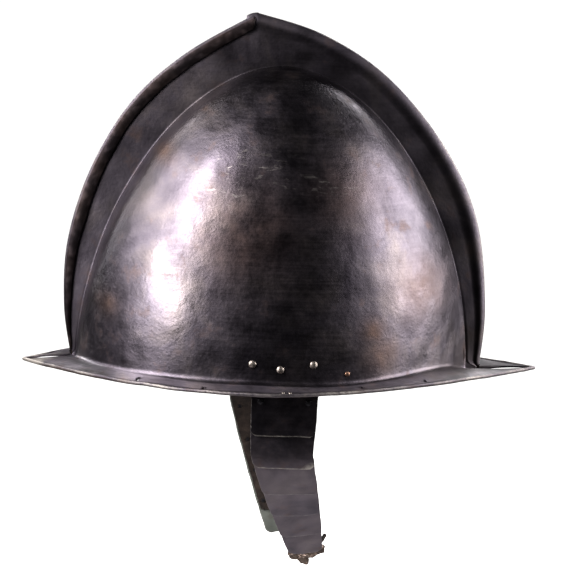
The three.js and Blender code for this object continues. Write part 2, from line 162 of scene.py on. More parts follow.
# A white room for what the viewer sees and for soft daylight, but nearly dark in mirrors.
world = bpy.data.worlds.new("studio")
bpy.context.scene.world = world
world.use_nodes = True
tree = world.node_tree
tree.nodes.clear()
path = add(tree, "LightPath")
soft = add(tree, "Background", {"Color": linear("#ffffff"), "Strength": 1.3})
dark = add(tree, "Background", {"Color": linear("#c9ccd6"), "Strength": 0.03})
either = add(tree, "MixShader", {0: path.outputs["Is Glossy Ray"], 1: soft.outputs[0],
                                 2: dark.outputs[0]})
add(tree, "OutputWorld", {"Surface": either.outputs[0]})

# %% [markdown]
# A soft box is an area light. Its size sets how wide a highlight it draws, and a wide one
# fades gently over hammered steel. Each is placed by where it stands round the helmet, aims at
# the bowl, and is hidden from the camera but not from the steel.

# %% Soft boxes
# Each box: direction round from the viewer's side in degrees, height in degrees, distance in
# metres, width and height in metres, and brightness in watts.
SOFT_BOXES = {
    "key_left": (-57, 24, 1.25, 0.44, 1.1, 46),
    "wide_left": (-90, 28, 1.4, 0.6, 0.8, 15),
    "wide_right": (91, 14, 1.3, 0.75, 0.95, 29),
    "fill_right": (66, 18, 1.5, 0.5, 0.7, 5),
    "back_left": (-137, 24, 1.4, 0.5, 0.9, 16),
    "back_right": (145, 26, 1.4, 0.5, 0.9, 24),
    "bounce": (0, -80, 0.48, 0.7, 0.7, 1.9),
}
AIM = Vector((0, 0, 0.09))
for name, (turn, rise, distance, width, height, watts) in SOFT_BOXES.items():
    light = bpy.data.lights.new(name, "AREA")
    light.shape = "RECTANGLE"
    light.size = width
    light.size_y = height
    light.energy = watts
    away = Vector((sin(radians(turn)) * cos(radians(rise)),
                   -cos(radians(turn)) * cos(radians(rise)), sin(radians(rise))))
    box = bpy.data.objects.new(name, light)
    bpy.context.scene.collection.objects.link(box)
    box.location = AIM + away * distance
    box.visible_camera = False
    box.rotation_euler = away.to_track_quat("Z", "Y").to_euler()
print("lights:", ", ".join(SOFT_BOXES))

# %% [markdown]
# ## Blackened steel
# The helmet was blackened with oil over the fire, and has been handled for centuries. The
# finish is a thin dark skin on bare steel: it mirrors dimly, with violet and brown tints, and
# its soft highlights break up over shallow hammer marks. Where hands rubbed it, along the
# edges, the bright steel shows. Five vertex attributes carry what differs from place to place:
# "worn" marks rubbed edges, "rust" stained places, "scuffed" scratched ones, "matte" those
# that were never polished, and "tone" makes the colour paler above zero and blacker below it.
# The tone varies at random over the skin, and it also carries painted light and shade: painted
# reflections on the brim, painted shade in the comb's hollows, and faces painted darker where
# they mirror dark surroundings.

# %% Colour of the skin
FINISHES = ("worn", "rust", "scuffed", "matte", "tone")


def skin_colour(tree, place, finish, stain, tones):
    """The skin's colour, and how far each place has rusted."""
    cloud = add(tree, "TexNoise", {"Vector": place, "Scale": per_mm(42), "Detail": 6.0,
                                   "Roughness": 0.62, "Distortion": 0.5})
    skin = add(tree, "ValToRGB", {"Fac": cloud.outputs[0]})
    set_ramp(skin, list(zip((0.3, 0.5, 0.7), tones)))
    # Brown patches, where the skin is thin and has begun to rust.
    stained = add(tree, "ValToRGB", {"Fac": stain})
    set_ramp(stained, [(0.57, 0.0), (0.8, 0.55)])
    rusted = add(tree, "Math", {0: stain, 1: finish["rust"]}, operation="MULTIPLY")
    patch = add(tree, "Math", {0: stained.outputs[0], 1: rusted.outputs[0]}, operation="MAXIMUM")
    browned = add(tree, "Mix", {0: patch.outputs[0], 6: skin.outputs[0],
                                7: linear("#5a453a")}, data_type="RGBA")
    # Paler or blacker by the tone of the place, which holds painted light and shade as well as
    # random unevenness.
    strength = add(tree, "Math", {0: finish["tone"], 1: 1.0}, operation="ADD")
    toned = add(tree, "VectorMath", {0: browned.outputs[2], "Scale": strength.outputs[0]},
                operation="SCALE")
    return toned.outputs[0], patch.outputs[0]


# %% [markdown]
# Handling takes the skin off. On rubbed edges the bare steel shows through a fine grain. On
# scuffed places there are pale scratches, longer than they are high.

# %% Rubbed and scratched places
RUBBED_STEEL = "#938c86"


def with_wear(tree, place, finish, grain, skin):
    rubbed = add(tree, "Math", {0: finish["worn"], 1: grain}, operation="MULTIPLY")
    bare = add(tree, "MapRange", {"Value": rubbed.outputs[0], "From Min": 0.16, "From Max": 0.5,
                                  "To Max": 0.9})
    colour = add(tree, "Mix", {0: bare.outputs[0], 6: skin, 7: linear(RUBBED_STEEL)},
                 data_type="RGBA")
    flattened = add(tree, "Mapping", {"Vector": place, "Scale": (0.3, 0.3, 1.0)})
    scrapes = add(tree, "TexNoise", {"Vector": flattened.outputs[0], "Scale": per_mm(2.6),
                                     "Detail": 3.0, "Distortion": 0.9})
    deep = add(tree, "MapRange", {"Value": scrapes.outputs[0], "From Min": 0.58, "From Max": 0.7})
    scratch = add(tree, "Math", {0: finish["scuffed"], 1: deep.outputs[0]}, operation="MULTIPLY")
    scratched = add(tree, "Mix", {0: scratch.outputs[0], 6: colour.outputs[2],
                                  7: linear("#7b7472")}, data_type="RGBA")
    return scratched.outputs[2]


# %% [markdown]
# The polish is uneven: brush lines, stains and grain all change it. It is duller where it was
# never good and where it has rusted.

# %% Polish
def polish(tree, finish, noises, patch, roughness):
    lines, stain, grain = noises
    streaks = add(tree, "Math", {0: lines, 1: 0.35, 2: stain}, operation="MULTIPLY_ADD")
    smear = add(tree, "Math", {0: grain, 1: 0.5, 2: streaks.outputs[0]},
                operation="MULTIPLY_ADD")
    uneven = add(tree, "MapRange", {"Value": smear.outputs[0], "From Min": 0.7, "From Max": 1.15,
                                    "To Min": roughness - 0.06, "To Max": roughness + 0.1})
    dulled = add(tree, "Math", {0: finish["matte"], 1: 0.2, 2: uneven.outputs[0]},
                 operation="MULTIPLY_ADD")
    rough = add(tree, "Math", {0: patch, 1: 0.12, 2: dulled.outputs[0]},
                operation="MULTIPLY_ADD")
    return rough.outputs[0]


# %% [markdown]
# The surface itself has hammer marks and swells, then pits, a crumpled skin and the brush
# lines. Each is a bump over the one before, because only broad hollows are worth real mesh.

# %% Relief
def relief(tree, place, lines):
    hammer = add(tree, "TexVoronoi", {"Vector": place, "Scale": per_mm(13), "Smoothness": 1.0,
                                      "Randomness": 1.0}, feature="SMOOTH_F1")
    swells = add(tree, "TexNoise", {"Vector": place, "Scale": per_mm(12), "Detail": 1.5})
    pits = add(tree, "TexNoise", {"Vector": place, "Scale": per_mm(1.9), "Detail": 1.0})
    crumple = add(tree, "TexNoise", {"Vector": place, "Scale": per_mm(5), "Detail": 1.5,
                                     "Distortion": 0.6})
    # Height, strength, and depth in millimetres.
    layers = [(hammer.outputs["Distance"], 0.3, 0.3), (swells.outputs[0], 0.6, 0.4),
              (pits.outputs[0], 0.6, 0.12), (crumple.outputs[0], 0.5, 0.16), (lines, 0.4, 0.006)]
    under = {}
    for height, push, depth in layers:
        bump = add(tree, "Bump", {"Height": height, "Strength": push, "Distance": depth * MM,
                                  **under})
        under = {"Normal": bump.outputs[0]}
    return under["Normal"]


# %% [markdown]
# One function makes every blackened steel. The half plates have two: oil-blackened and
# polished outside, and rough and browner inside, where nobody polished it. The brush lines
# come from cleaning. They are too fine to show at their real width, so they are drawn 1.3 mm
# apart.

# %% Blackened steel
def blackened_steel(name, dark_tone, mid_tone, light_tone, roughness):
    material, tree, shader = new_material(name)
    place = add(tree, "TexCoord").outputs["Object"]
    finish = {attribute: add(tree, "Attribute", attribute_name=attribute).outputs["Fac"]
              for attribute in FINISHES}
    stain = add(tree, "TexNoise", {"Vector": place, "Scale": per_mm(15), "Detail": 5.0,
                                   "Roughness": 0.6}).outputs[0]
    grain = add(tree, "TexNoise", {"Vector": place, "Scale": per_mm(2.4), "Detail": 5.0,
                                   "Roughness": 0.65}).outputs[0]
    level_lines = add(tree, "Mapping", {"Vector": place, "Scale": (0.05, 0.05, 1.0)})
    lines = add(tree, "TexNoise", {"Vector": level_lines.outputs[0], "Scale": per_mm(1.3),
                                   "Detail": 2.0, "Roughness": 0.5}).outputs[0]
    skin, patch = skin_colour(tree, place, finish, stain, (dark_tone, mid_tone, light_tone))
    colour = with_wear(tree, place, finish, grain, skin)
    shader.inputs["Metallic"].default_value = 1.0
    tree.links.new(colour, shader.inputs["Base Color"])
    tree.links.new(polish(tree, finish, (lines, stain, grain), patch, roughness),
                   shader.inputs["Roughness"])
    tree.links.new(relief(tree, place, lines), shader.inputs["Normal"])
    return material


oil_blackened_steel = blackened_steel(
    "oil_blackened_steel", "#38333a", "#4c464c", "#5d5556", 0.34)
inner_steel = blackened_steel(
    "rough_inner_steel", "#332c28", "#463b34", "#5a4a3f", 0.52)
print("steels:", oil_blackened_steel.name, inner_steel.name)

# %% [markdown]
# ## The half plates
# The side view gives everything: the comb's outline, and the bowl's crease below it. For
# each place along the outline one rib is drawn from the rolled edge of the brim up to the
# rim of the comb, and the plate is the sheet through all the ribs. A flat grid whose columns
# are the ribs is the simplest start, and its own width and length number them.

# %% Driving dimensions
# All in millimetres, as in the construction.
SIGNS = {"right": -1, "left": 1}
PLATE = 1.5                    # the sheet that the construction's rivets go through
SHEET = 1.3                    # the sheet that shows
HALF_GAP = 0.15
BOWL_CENTRE_X = -2.75
BOWL_HALF_LENGTH = 129.75
BOWL_HALF_WIDTH = 95
BOWL_HEIGHT = 197
FRONT_PLAN = (2.2, 0.9)
REAR_PLAN = (2, 0.5)
PROFILE_POWER = 1.82
SECTION_POWER = 2 / 1.9

BRIM_MIDDLE_X = -3
BRIM_HALF_WIDTH = 112
REAR_END = {"reach": 165.5, "power": 2, "foot": -136.5}
FRONT_END = {"reach": 178, "power": 1.55, "foot": 136.6}
BRIM_EDGE_Z = -0.7
BRIM_EDGE_RISE = 0.0165
BEAD = 1.2                     # radius of the brim's rolled edge
BRIM_ROOT_Z = 3.7              # height at which the bowl turns into the brim,
BRIM_ROOT_RISE = 2.8           # more than that in front
BRIM_ROOT_RISE_SPAN = (35, 95)
FOOT_SETTLE_WIDTH = 22         # half width over which that line comes down to the comb's foot

COMB_ROOT = 4.5                # half thickness of the comb where it leaves the bowl
COMB_FULL_WIDTH = 24           # width at which the comb's rim has its full section
COMB_THICKENING = 1.6          # how much sooner than that it has its full thickness
FOOT_FILLET = 3                # height over which the comb's feet run out into the brim
COMB_TOP = (-21.8, 231.2)
REAR_OUTLINE = [(-136.5, 0), (-142, 34), (-140.8, 78), (-127, 126), (-102.2, 170),
                (-67.4, 203.2), COMB_TOP]
FRONT_OUTLINE = [(136.6, 0), (138.8, 42), (130, 100), (105.4, 149), (65.4, 193),
                 (22, 218.8), COMB_TOP]
FOOT_CROWDING = 1.25           # above 1, so that the ribs lie closer together at the feet
POINT_CROWDING = 1.3           # and the same at the point
END_COLUMNS = 116              # ribs from a foot to the point
OUTLINE_STEPS = 1200
print("brim:", REAR_END["reach"] + FRONT_END["reach"], "mm long,", 2 * BRIM_HALF_WIDTH, "mm wide")

# %% [markdown]
# The comb's outline is a smooth curve through a few points, from each foot up to the sharp
# point at the top. Ribs are set out along it by length. They crowd together at the feet and
# at the point, where the shape turns fastest.

# %% Outline of the comb
def clamp01(value):
    return min(1.0, max(0.0, value))


def mix(a, b, t):
    return a + (b - a) * t


def smooth(low, high, value):
    t = clamp01((value - low) / (high - low))
    return t * t * (3 - 2 * t)


def spline_point(points, t):
    """A point on the smooth curve through a list of points, for t from 0 to 1."""
    spans = len(points) - 1
    k = min(int(t * spans), spans - 1)
    w = t * spans - k
    p = [Vector(points[min(max(k + step, 0), spans)]) for step in (-1, 0, 1, 2)]
    leave, arrive = (p[2] - p[0]) / 2, (p[3] - p[1]) / 2
    return ((2 * p[1] - 2 * p[2] + leave + arrive) * w ** 3
            + (3 * p[2] - 3 * p[1] - 2 * leave - arrive) * w ** 2 + leave * w + p[1])


def outline_points(points, columns):
    """Points along the curve, closer together towards its two ends."""
    dense = [spline_point(points, k / OUTLINE_STEPS) for k in range(OUTLINE_STEPS + 1)]
    lengths = [0.0]
    for a, b in zip(dense, dense[1:]):
        lengths.append(lengths[-1] + (b - a).length)
    placed, walk = [], 0
    for k in range(columns + 1):
        share = 1 - (1 - (k / columns) ** FOOT_CROWDING) ** POINT_CROWDING
        wanted = lengths[-1] * share
        while walk < OUTLINE_STEPS - 1 and lengths[walk + 1] < wanted:
            walk += 1
        span = lengths[walk + 1] - lengths[walk]
        placed.append(dense[walk].lerp(dense[walk + 1], clamp01((wanted - lengths[walk]) / span)))
    return placed, lengths[-1]


rear_side, rear_length = outline_points(REAR_OUTLINE, END_COLUMNS)
front_side, front_length = outline_points(FRONT_OUTLINE, END_COLUMNS)
comb_outline = rear_side + front_side[::-1][1:]
LAST_COLUMN = len(comb_outline) - 1
print(f"comb rim: {rear_length:.0f} mm behind the point, {front_length:.0f} mm before it")

# %% [markdown]
# A rib starts inside the rolled edge, runs over it and up the brim, turns into the bowl with
# a small radius, follows the bowl to the crease, turns again and climbs the comb. At its top
# one plate's edge is folded over the other's: the right plate's in front of the point and the
# left plate's behind it.

# %% One rib
def bowl_radius(direction):
    side = abs(direction.x) / BOWL_HALF_LENGTH
    up = direction.y / BOWL_HEIGHT
    return (side ** PROFILE_POWER + up ** PROFILE_POWER) ** (-1 / PROFILE_POWER)


def brim_root_z(x):
    return BRIM_ROOT_Z + BRIM_ROOT_RISE * smooth(*BRIM_ROOT_RISE_SPAN, x)


def rib_frame(k):
    """What one rib needs: its direction in side view, the comb's width there, and its points
    on the crease, the bowl's base and the brim's edge."""
    top = comb_outline[k]
    end = REAR_END if top.x < BOWL_CENTRE_X else FRONT_END
    plan = REAR_PLAN if top.x < BOWL_CENTRE_X else FRONT_PLAN
    forward = -1 if top.x < BOWL_CENTRE_X else 1
    ray = top - Vector((BOWL_CENTRE_X, 0))
    reach = ray.length
    direction = ray / reach
    radius = bowl_radius(direction)
    to_foot = exp(-(radius * direction.y / FOOT_FILLET) ** 2)
    foot = abs(end["foot"] - BOWL_CENTRE_X)
    crease_reach = radius + (foot - BOWL_HALF_LENGTH) * to_foot
    width = reach - mix(radius, foot, to_foot)
    comb = clamp01(width / COMB_FULL_WIDTH)
    thick = clamp01(COMB_THICKENING * comb)
    root = mix(HALF_GAP, COMB_ROOT, thick)
    along = min(1, abs(radius * direction.x) / BOWL_HALF_LENGTH)
    base_y = max(root, HALF_GAP + BOWL_HALF_WIDTH * (1 - along ** plan[0]) ** plan[1])
    spur = (foot - BOWL_HALF_LENGTH) * to_foot
    base_x = BOWL_CENTRE_X + forward * (BOWL_HALF_LENGTH * along + spur)
    edge_x = BRIM_MIDDLE_X + forward * end["reach"] * along
    edge_y = HALF_GAP + BRIM_HALF_WIDTH * (1 - along ** end["power"])
    settled = 1 - exp(-(base_y / FOOT_SETTLE_WIDTH) ** 2)
    return {
        "direction": direction, "reach": reach, "width": width, "comb": comb, "thick": thick,
        "along": along, "forward": forward,
        "crease": Vector((BOWL_CENTRE_X + direction.x * crease_reach, root,
                          direction.y * crease_reach)),
        "base": Vector((base_x, base_y, brim_root_z(base_x) * settled)),
        "edge": Vector((edge_x, edge_y, BRIM_EDGE_Z + BRIM_EDGE_RISE * edge_x)),
    }


def bowl_point(rib, angle):
    """A point on the bowl, for an angle in degrees from 0 at its base to 90 at the crease."""
    level = max(0.0, cos(radians(angle))) ** SECTION_POWER
    rise = sin(radians(angle)) ** SECTION_POWER
    crease, base = rib["crease"], rib["base"]
    return Vector((mix(crease.x, base.x, level), mix(crease.y, base.y, level),
                   mix(base.z, crease.z, rise)))


def corner(start, middle, end, steps):
    """Points round a rounded corner, without its two ends."""
    parts = [k / steps for k in range(1, steps)]
    return [start * (1 - t) ** 2 + middle * (2 * t * (1 - t)) + end * t ** 2 for t in parts]


# %% [markdown]
# The folded edge has a shallow hollow under a rounded bead on its own side, goes over the top
# and lies flat on the other side. The plain edge stays inside the fold, or ends at the top.
# One section describes both, so that every rib has the same number of points, and an amount
# from 0 to 1 opens the plain edge into the folded one.

# %% Rim of the comb
# Each point of the section: depth below the outline and distance from the middle plane.
FOLDED_RIM = [(12, 2.4), (10.5, 2.3), (9, 2.35), (7.5, 2.5), (6.2, 2.6), (5, 2.5), (3.8, 2.2),
              (2.7, 1.75), (1.7, 1.2), (0.8, 0.5), (0.2, -0.1), (0, -0.7), (0.3, -1.6),
              (0.9, -2.4), (1.9, -3.15), (3.2, -3.7), (4.8, -4.0), (6.4, -4.05), (7.6, -3.95),
              (8.6, -3.8)]
BEAD_TOP = 11                  # the point of the section that lies on the outline
COVERED_DROP = 3.4             # a covered edge stops this far below the outline
PLAIN_FACES = (1.95, 2.75)     # the plain sheet's distance from the middle plane,
PLAIN_DEPTHS = (4, 14)         # at these depths
FOLD_START = 1.5               # depth from which the turned-down part of the edge unrolls
TONGUE_COLUMNS = 7             # the right plate's fold ends this many ribs behind the point,
TONGUE_LIFT = 1.9              # and rises by this much to lie over the left plate's


def rim_points(fold, covered, wobble):
    """The rim of one rib. A plain edge ends at the outline, or a little below it inside the
    other plate's fold. fold, from 0 to 1, turns it into the folded section."""
    plain_top = COVERED_DROP * covered
    opened = min(1, 3 * fold)
    points = []
    for k, (depth, side) in enumerate(FOLDED_RIM):
        plain_depth = plain_top if k > BEAD_TOP else max(depth, plain_top)
        plain_side = mix(*PLAIN_FACES, smooth(*PLAIN_DEPTHS, plain_depth))
        if k > BEAD_TOP:
            depth = mix(FOLD_START, depth + wobble * max(0, depth - 3) / 6, fold)
        points.append((mix(plain_depth, depth, opened), mix(plain_side, side, opened)))
    return points


def fold_amount(k, side):
    """How far this plate's edge is folded over at a rib, from 0 to 1. At the point the right
    plate's fold runs on backward as a short tongue over the left plate's."""
    from_top = (END_COLUMNS - k) * SIGNS[side]
    if side == "right":
        start = smooth(-TONGUE_COLUMNS, 1 - TONGUE_COLUMNS, from_top)
    else:
        start = smooth(1, 4, from_top)
    return start * smooth(1, 5, END_COLUMNS - from_top)


# %% [markdown]
# A real brim is never level or evenly trimmed, so its edge waves a little and is nibbled. The
# rolled edge starts inside the roll, so that the thickness of the sheet shows there. Where the
# two plates meet at the tips, the left one's brim rides up over the right one's.

# %% Brim of a rib
BEAD_STEPS, BRIM_STEPS = 9, 8
BEAD_ANGLES = (-125, 90)       # round the rolled edge, from inside the roll to its top
BEAD_RUN = 2.3                 # bead radii from the brim's edge to its flat sheet
SHEET_RISE = 0.35              # the brim's top above the middle of its rolled edge
CORNER_REACH = 3.4             # from the bowl's base to where its corner starts to round
SEAM_LIFT = {"right": -0.35, "left": 1.5}
SEAM_WIDTH = 8


def brim_points(rib, side):
    """Points from inside the rolled edge to where the corner under the bowl begins."""
    edge, base = rib["edge"], rib["base"]
    inward = Vector((base.x - edge.x, base.y - edge.y, 0)).normalized()
    edge_wave = Vector((rib["along"] * 9 * rib["forward"], SIGNS[side] * 5, 0))
    uneven = noise.noise(edge_wave) * 0.45 + noise.noise(edge_wave * 4) * 0.18
    nibble = 0.5 * max(0, noise.noise(edge_wave * 3 + Vector((0, 0, 8))))

    def near(distance, height):
        spot = edge + inward * (distance + nibble)
        z = edge.z + height + uneven * (1 - distance / 20)
        return Vector((spot.x, max(HALF_GAP, spot.y), z))

    points = []
    for step in range(BEAD_STEPS + 1):
        angle = radians(mix(*BEAD_ANGLES, step / BEAD_STEPS))
        points.append(near(BEAD * (1 - cos(angle)), BEAD * sin(angle)))
    sheet = near(BEAD_RUN * BEAD, SHEET_RISE)
    points.append(near(1.6 * BEAD, mix(BEAD, SHEET_RISE, 0.55)))
    run = (base - sheet).length
    brim_end = base.lerp(sheet, min(0.4, CORNER_REACH / max(run, 0.01)))
    for step in range(BRIM_STEPS + 1):
        spot = sheet.lerp(brim_end, step / BRIM_STEPS)
        at_seam = exp(-(spot.y / SEAM_WIDTH) ** 2) * sin(pi * (step + 1) / (BRIM_STEPS + 2))
        points.append(spot + Vector((0, 0, SEAM_LIFT[side] * at_seam)))
    return points, brim_end


# %% [markdown]
# The comb's face climbs from the crease to the rim. Towards its feet the comb gets narrower
# and thinner, and everything on it shrinks with it.

# %% Comb of a rib
COMB_STEPS = 13
CREASE_REACH = 1.7             # from the crease to where its corner starts to round


def comb_points(rib, k, side):
    """Points from just above the crease to the end of the rim."""
    fold = fold_amount(k, side)
    covered = fold_amount(k, "left" if side == "right" else "right")
    wobble = 0.7 * noise.noise(Vector((k * 0.16, 3.3 * SIGNS[side], 0)))
    rim = rim_points(fold, covered, wobble)
    depth_start = rib["width"] - min(CREASE_REACH, rib["width"] * 0.3)
    depth_rim = rim[0][0] * rib["comb"]
    rim_y = mix(HALF_GAP, rim[0][1], rib["thick"])
    depths = []
    for step in range(COMB_STEPS):
        t = step / COMB_STEPS
        depths.append((mix(depth_start, depth_rim, t), mix(rib["crease"].y, rim_y, t)))
    tongue = 0.0
    if side == "right":
        past = k - END_COLUMNS
        tongue = (TONGUE_LIFT * smooth(-TONGUE_COLUMNS, 1 - TONGUE_COLUMNS, past)
                  * smooth(1, -5, past))
    for depth, y in rim:
        lift = tongue * smooth(6, 3, depth)
        thinned = mix(HALF_GAP, y, rib["thick"]) if y > 0 else y * rib["thick"]
        depths.append((depth * rib["comb"] - lift, thinned))
    return [Vector((BOWL_CENTRE_X + rib["direction"].x * (rib["reach"] - depth), y,
                    rib["direction"].y * (rib["reach"] - depth))) for depth, y in depths]


# %% [markdown]
# The whole rib is the brim, the rounded corner, the bowl, the rounded crease and the comb. It
# is worked out for the left side and mirrored for the right one.

# %% A whole rib
CORNER_STEPS, BOWL_STEPS = 5, 52


def rib_points(k, side):
    rib = rib_frame(k)
    base, crease = rib["base"], rib["crease"]
    points, brim_end = brim_points(rib, side)
    rise = max((crease - base).length, 0.01)
    first = min(14.0, degrees(CORNER_REACH / rise))
    last = 90 - min(9.0, degrees(CREASE_REACH / max(abs(base.y - crease.y), rise * 0.3, 0.01)))
    points += corner(brim_end, base, bowl_point(rib, first), CORNER_STEPS)
    points += [bowl_point(rib, mix(first, last, t / BOWL_STEPS)) for t in range(BOWL_STEPS + 1)]
    climb = comb_points(rib, k, side)
    points += corner(points[-1], crease, climb[0], CORNER_STEPS)
    points += climb
    return [Vector((p.x, SIGNS[side] * p.y, p.z)) for p in points]


LAST_ROW = len(rib_points(END_COLUMNS, "right")) - 1
BOWL_FIRST_ROW = BEAD_STEPS + 2 + BRIM_STEPS
COMB_FIRST_ROW = BOWL_FIRST_ROW + BOWL_STEPS + CORNER_STEPS
RIM_FIRST_ROW = LAST_ROW + 1 - len(FOLDED_RIM)
print("ribs:", LAST_COLUMN + 1, "with", LAST_ROW + 1, "points each")

# %% [markdown]
# Every piece is drawn in millimetres, turned to metres once, and rides on the one body. A
# sheet gets its thickness from Solidify, which grows it inward, and soft edges from Bevel.
# Both are then made real mesh.

# %% Helpers for pieces
def face_outward(mesh_data, side):
    bmesh.ops.recalc_face_normals(mesh_data, faces=mesh_data.faces)
    total = sum((face.normal * face.calc_area() for face in mesh_data.faces), Vector())
    if total.y * SIGNS[side] < 0:
        bmesh.ops.reverse_faces(mesh_data, faces=mesh_data.faces)


def new_piece(name, mesh_data, materials, *nodes, slot=None):
    """Makes an object of a finished bmesh in millimetres and puts it in the frame."""
    bmesh.ops.scale(mesh_data, verts=mesh_data.verts, vec=(MM, MM, MM))
    data = bpy.data.meshes.new(name)
    mesh_data.to_mesh(data)
    mesh_data.free()
    piece = bpy.data.objects.new(name, data)
    bpy.context.scene.collection.objects.link(piece)
    for material in materials:
        data.materials.append(material)
    for polygon in data.polygons:
        polygon.use_smooth = True
    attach(piece, "root")
    if nodes:
        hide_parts(*nodes)
    return piece


def settle(piece):
    """Turns a piece's modifiers into real mesh, and keeps its hard edges hard."""
    graph = bpy.context.evaluated_depsgraph_get()
    graph.update()
    finished = bpy.data.meshes.new_from_object(piece.evaluated_get(graph))
    piece.modifiers.clear()
    piece.data = finished
    finished.set_sharp_from_angle(angle=radians(38))


def thicken(piece, thickness, inner_material=0, edge_width=0):
    """Gives a sheet its thickness, its inner material and, where asked, rounded edges."""
    wall = piece.modifiers.new("wall", "SOLIDIFY")
    wall.thickness = thickness * MM
    wall.offset = -1
    wall.material_offset = inner_material
    if edge_width:
        edges = piece.modifiers.new("edges", "BEVEL")
        edges.width = edge_width * MM
        edges.segments = 2
        edges.limit_method = "ANGLE"
        edges.angle_limit = radians(50)
    settle(piece)


# %% [markdown]
# Small holes along the brim's edge once held a lining. They are drilled with a Boolean after
# the sheet has its thickness, so that each hole shows a wall.

# %% Brim holes
BRIM_HOLES = [-91, -50, 50, 93]
BRIM_HOLE_RADIUS = 1.3
BRIM_HOLE_INSET = 5.5
DRILL_LENGTH = 16


def drill_brim(piece, sign):
    drills = bmesh.new()
    for x in BRIM_HOLES:
        end = REAR_END if x < BRIM_MIDDLE_X else FRONT_END
        along = abs(x - BRIM_MIDDLE_X) / end["reach"]
        y = sign * (BRIM_HALF_WIDTH * (1 - along ** end["power"]) - BRIM_HOLE_INSET)
        bmesh.ops.create_cone(drills, cap_ends=True, segments=18, radius1=BRIM_HOLE_RADIUS * MM,
                              radius2=BRIM_HOLE_RADIUS * MM, depth=DRILL_LENGTH * MM,
                              matrix=Matrix.Translation(Vector((x, y, 0)) * MM))
    data = bpy.data.meshes.new("drills")
    drills.to_mesh(data)
    drills.free()
    cutter = bpy.data.objects.new("drills", data)
    bpy.context.scene.collection.objects.link(cutter)
    cut = piece.modifiers.new("holes", "BOOLEAN")
    cut.operation = "DIFFERENCE"
    cut.solver = "FAST"
    cut.object = cutter
    settle(piece)
    bpy.data.objects.remove(cutter)


# %% [markdown]
# The finish differs from place to place, as hands, damp and polish left it, and part of it is
# painted light and shade. The brim is dull and patchy with a rubbed edge, and is painted paler
# where it mirrors the bowl's highlights. The bowl is polished, rubbed along its crease, where a
# thin painted highlight runs as well, painted darkest in the middle, where it mirrors the dark
# between the soft boxes, stained in spots and scuffed near the top. The comb's faces and its
# hollow are painted dark as shade, its bead is rubbed bright, and the folded-over strip is
# rough, rust-brown and nearly black.

# %% Finish from place to place
# Rust-brown places on the bowl: x, z, size in millimetres and strength.
RUST_SPOTS = {
    "right": [(-79, 141, 7, 1.3), (-113, 43, 7, 1.2), (56, 36, 8, 1.2), (61, 21, 12, 1.1),
              (-25, 95, 30, 0.8), (30, 120, 22, 0.6), (90, 60, 20, 0.7)],
    "left": [(-60, 90, 16, 1.0), (12, 140, 10, 1.2), (74, 40, 14, 1.1), (-20, 50, 26, 0.7)],
}
# How much paler (above 0) or blacker (below 0) brim and comb are painted along them: x and tone.
# On the brim this is painted reflection: paler where the brim mirrors the bowl's two highlights,
# darker where it mirrors dark. On the comb it is painted shade, darkest near the top.
BRIM_REFLECTION_TONES = [(-168, 0.3), (-144, 0.0), (-117, -0.6), (-90, 1.6), (-50, 1.2), (-16, 0.45),
              (30, 0.45), (60, 0.7), (85, 1.1), (118, -0.3), (152, -0.5), (175, 0.0)]
COMB_SHADE_TONES = [(-150, -0.35), (-60, -0.35), (-35, -0.6), (20, -0.6), (60, -0.35), (140, -0.45)]
# Scuffed places on the bowl: x, z, length and height.
SCUFFS = [(-22, 137, 26, 9), (14, 128, 20, 7), (-40, 118, 16, 6)]


def tone_at(x, tones):
    for (x0, tone0), (x1, tone1) in zip(tones, tones[1:]):
        if x <= x1:
            return mix(tone0, tone1, smooth(x0, x1, x))
    return tones[-1][1]


print("stained places:", {side: len(spots) for side, spots in RUST_SPOTS.items()})

# %% [markdown]
# Each part of the plate has its own rule for the five attributes. What a rule doesn't name is
# zero there.

# %% Finish of brim, bowl and comb
def brim_finish(side, row, x, cloud, along):
    patch = noise.noise(Vector((x / 9, row * 0.5, SIGNS[side] * 3)))
    worn = rust = 0.0
    # Painted reflection along the brim, with patches that vary at random.
    tone = tone_at(x, BRIM_REFLECTION_TONES) * (1 + 0.5 * cloud) + 0.5 * patch
    if row <= BEAD_STEPS + 1:
        worn = 0.5 + 0.6 * along if row > 3 else 0.2
        rust = 0.6 if row < 4 else 0.0
        tone = 0.0
    # Painted shade: a dark line in the groove where the sheet runs into the rolled edge.
    elif row <= BEAD_STEPS + 3:
        tone = -0.45
    worn += smooth(-128, -160, x) * max(0.0, 0.4 + cloud)
    return {"worn": worn, "rust": rust, "matte": 1.0, "tone": tone}


def bowl_finish(side, k, row, place, cloud, along):
    x, z = place.x, place.z
    from_crease = BOWL_FIRST_ROW + BOWL_STEPS + 3 - row
    from_foot = smooth(2, 14, min(k, LAST_COLUMN - k))
    from_top = smooth(14, 50, abs(k - END_COLUMNS))
    break_up = 0.5 + 1.1 * noise.noise(place / 9 + Vector((0, 0, SIGNS[side] * 20)))
    # Bare steel along the crease: partly rubbed, partly a painted highlight on its rounded edge.
    rubbed = (0.5 * break_up + 0.4 * along) * exp(-(from_crease / 1.8) ** 2)
    rust = scuffed = 0.0
    for spot_x, spot_z, size, strength in RUST_SPOTS[side]:
        distance = hypot(x - spot_x, z - spot_z) / size
        rust = max(rust, strength * exp(-distance ** 2))
    for spot_x, spot_z, length, height in SCUFFS:
        distance = hypot((x - spot_x) / length, (z - spot_z) / height)
        scuffed = max(scuffed, exp(-distance ** 2))
    # The tone paints the bowl darker in the middle, as painted shade where it mirrors the dark
    # between the two soft boxes, and the cloud varies it at random.
    return {"worn": rubbed * from_foot * from_top, "rust": rust, "scuffed": scuffed,
            "matte": 0.25 * smooth(8, 0, row - BOWL_FIRST_ROW),
            "tone": -0.35 * exp(-((x + 5) / 38) ** 2) + 0.25 * cloud}


